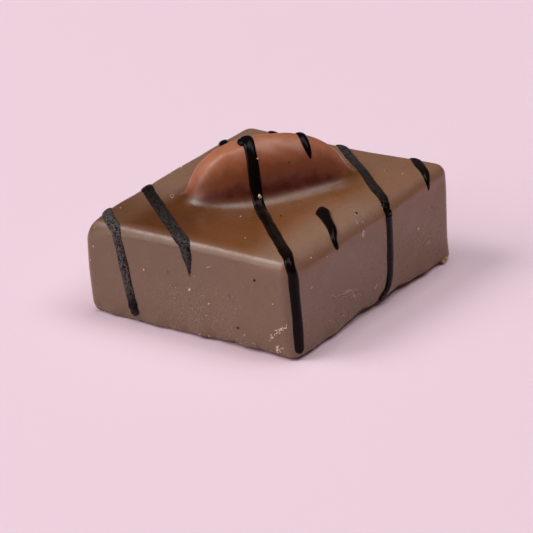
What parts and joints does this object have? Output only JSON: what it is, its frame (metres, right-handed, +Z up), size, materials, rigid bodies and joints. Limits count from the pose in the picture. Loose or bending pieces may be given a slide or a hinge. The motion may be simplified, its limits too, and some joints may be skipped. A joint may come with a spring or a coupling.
{
  "type": "chocolate bonbon",
  "caption": "Square milk chocolate bonbon with a nut standing under its coat and thin dark chocolate strands drawn across it.",
  "frame": {"origin": "middle of the base, on the surface it stands on", "axes": "+Z up, +X and +Y along the block's two pairs of sides; the corner between +X and -Y is the one nearest the camera in the picture"},
  "size_m": [0.031, 0.0342, 0.0192],
  "materials": {
    "milk_chocolate": "satin milk chocolate coat with glossier dark chocolate strands",
    "dark_chocolate": "glossy dark chocolate, the strands that lie on the coat",
    "pale_crumbs": "small pale crumbs and scuffs left on the coat"
  },
  "bodies": {
    "root": {"bonbon": "milk_chocolate"}
  },
  "joints": []
}
